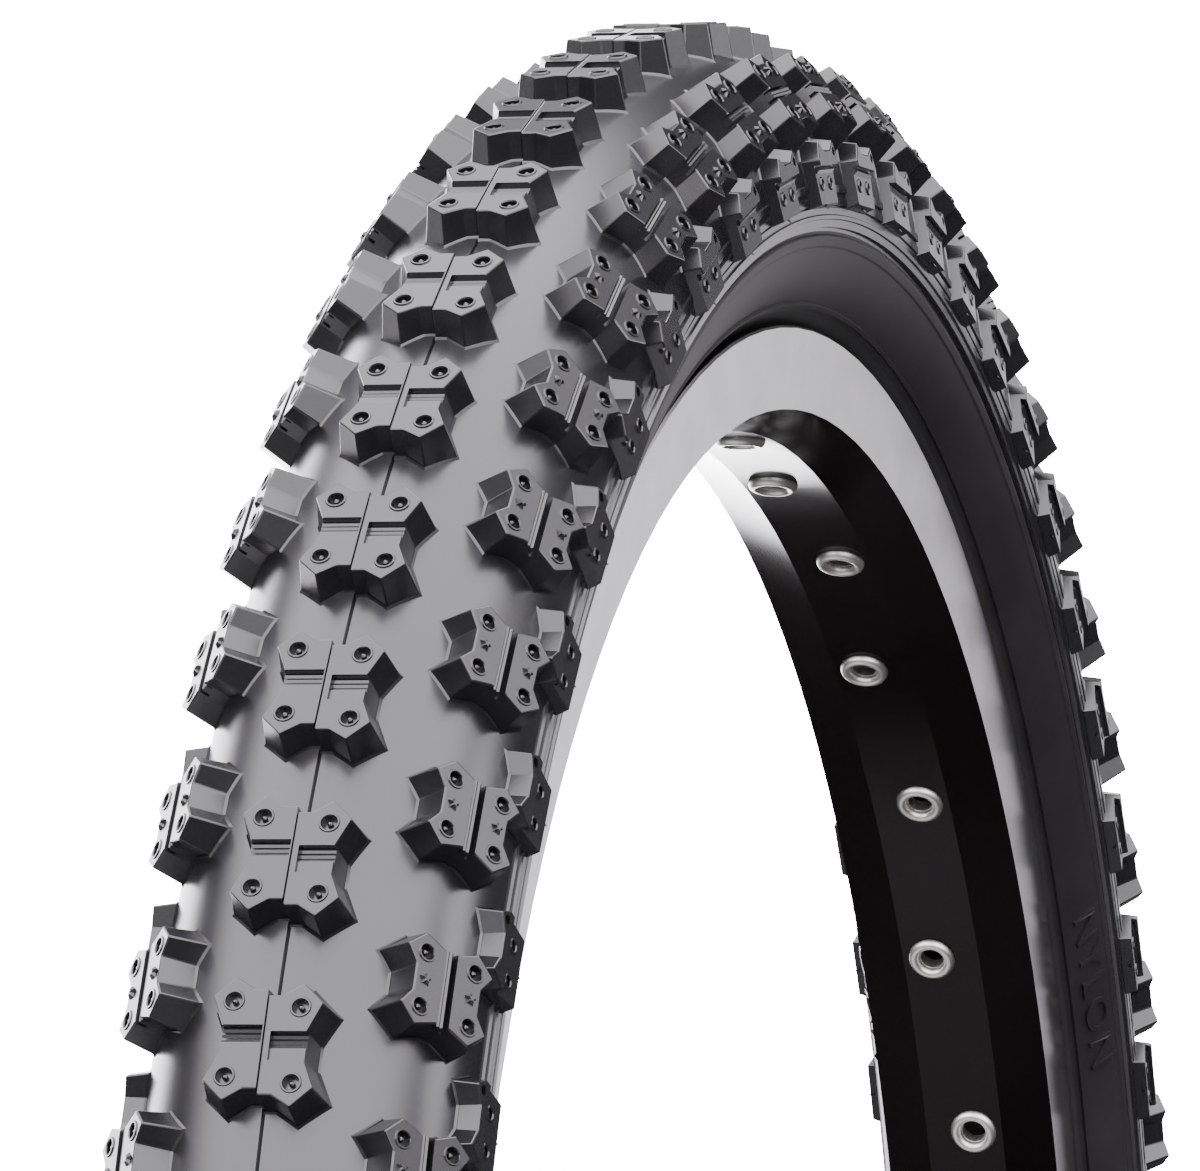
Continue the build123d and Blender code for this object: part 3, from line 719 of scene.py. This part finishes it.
def dress():
    """Materials for the CAD pieces that are shown as they are."""
    finish = {
        "rim": RIM,
        "rim_tape": TAPE,
        "chafer_left": CHAFER,
        "chafer_right": CHAFER,
        "casing_ply_outer": CLOTH,
        "casing_ply_inner": CLOTH,
        "bead_wire_left": STEEL,
        "bead_wire_right": STEEL,
        "inner_tube": TUBE,
        "valve_jacket": TUBE,
        "valve_core_seal": TUBE,
        "valve_cap_seal": TUBE,
        "valve_stem": BRASS,
        "valve_core_barrel": BRASS,
        "valve_core_pin": BRASS,
        "valve_core_gasket": GASKET,
        "valve_core_spring": STEEL,
        "valve_cap": CAP,
    }
    for node, material in finish.items():
        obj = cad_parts[node]
        obj.data.materials.clear()
        obj.data.materials.append(material)
    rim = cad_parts["rim"].data
    rim.materials.append(SILVER)
    wall = (RIM_HALF_WIDTH - RIM_WALL_LEAN) * MM
    for face in rim.polygons:
        face.material_index = int(min(abs(rim.vertices[v].co.y) for v in face.vertices) > wall)


# ---- camera, floor and light --------------------------------------------------------
CAMERA_PLACE = (-1.3821, -0.34896, 0.16365)
CAMERA_TURNS = (14.776, 0.283, -0.466)     # yaw, pitch and roll in degrees
CAMERA_LENS = 287.4
CAMERA_SENSOR = 36.0


def make_camera():
    yaw, pitch, roll = (math.radians(a) for a in CAMERA_TURNS)
    place = Vector(CAMERA_PLACE)
    level = Vector((math.cos(yaw), math.sin(yaw), 0.0)) * math.cos(pitch)
    ahead = level + Vector((0.0, 0.0, math.sin(pitch)))
    flat = ahead.cross(Vector((0, 0, 1))).normalized()
    upright = flat.cross(ahead)
    right = flat * math.cos(roll) + upright * math.sin(roll)
    up = upright * math.cos(roll) - flat * math.sin(roll)
    camera = bpy.data.objects.new("camera", bpy.data.cameras.new("camera"))
    camera.data.lens = CAMERA_LENS
    camera.data.sensor_width = CAMERA_SENSOR
    camera.data.clip_start = 0.05
    camera.data.clip_end = 50.0
    turn = Matrix((right, up, -ahead)).transposed().to_4x4()
    camera.matrix_world = Matrix.Translation(place) @ turn
    bpy.context.scene.collection.objects.link(camera)
    bpy.context.scene.camera = camera


def make_floor():
    signs = ((-1, -1), (1, -1), (1, 1), (-1, 1))
    corners = [(x * FLOOR_HALF, y * FLOOR_HALF, FLOOR_Z) for x, y in signs]
    floor = to_object((corners, [(0, 1, 2, 3)]), "floor")
    paper = plastic("floor_paper", (0.80, 0.80, 0.80), (0.84, 0.84, 0.84), 0.9, 3)
    floor.data.materials.append(paper)
    floor.visible_glossy = False


def make_world():
    """Studio surroundings: soft discs of light, dim everywhere else."""
    world = bpy.data.worlds.new("studio")
    world.use_nodes = True
    bpy.context.scene.world = world
    tree = world.node_tree
    back = tree.nodes["Background"]
    back.inputs["Color"].default_value = STUDIO_TINT
    place = tree.nodes.new("ShaderNodeTexCoord")

    def lobe(direction, inner, outer, strength):
        """Soft disc of light round a direction, full within 'inner' degrees of it."""
        dot = tree.nodes.new("ShaderNodeVectorMath")
        dot.operation = "DOT_PRODUCT"
        dot.inputs[1].default_value = Vector(direction).normalized()
        link(tree, place.outputs["Generated"], dot.inputs[0])
        reach = tree.nodes.new("ShaderNodeMapRange")
        reach.interpolation_type = "SMOOTHSTEP"
        reach.inputs["From Min"].default_value = math.cos(math.radians(outer))
        reach.inputs["From Max"].default_value = math.cos(math.radians(inner))
        reach.inputs["To Max"].default_value = strength
        link(tree, dot.outputs["Value"], reach.inputs["Value"])
        return reach.outputs["Result"]

    total = None
    for args in WORLD_LOBES:
        add = tree.nodes.new("ShaderNodeMath")
        add.operation = "ADD"
        add.inputs[0].default_value = AMBIENT
        if total is not None:
            link(tree, total, add.inputs[0])
        link(tree, lobe(*args), add.inputs[1])
        total = add.outputs[0]
    rays = tree.nodes.new("ShaderNodeLightPath")
    seen = tree.nodes.new("ShaderNodeMix")
    link(tree, rays.outputs["Is Camera Ray"], seen.inputs["Factor"])
    link(tree, total, seen.inputs["A"])
    seen.inputs["B"].default_value = SEEN_WORLD
    link(tree, seen.outputs["Result"], back.inputs["Strength"])


# (direction, full within degrees, gone beyond degrees, strength): overhead, right side,
# behind the wheel, behind it to the left, behind it low down, and a weak one below
WORLD_LOBES = [
    ((-0.34, -0.06, 0.94), 52, 74, 4.7),
    ((0.36, -0.88, 0.31), 7, 13, 5.0),
    ((0.98, -0.10, -0.02), 9, 14, 1.7),
    ((0.80, 0.60, 0.05), 18, 32, 11.0),
    ((0.90, 0.33, -0.33), 7, 15, 15.0),
    ((-0.45, 0.22, -0.865), 15, 42, 0.9),
]
AMBIENT = 0.08
STUDIO_TINT = (1.0, 0.97, 1.03, 1.0)

make_camera()
make_floor()
make_world()
make_casing()
make_blocks()
make_lettering()
make_eyelets()
dress()
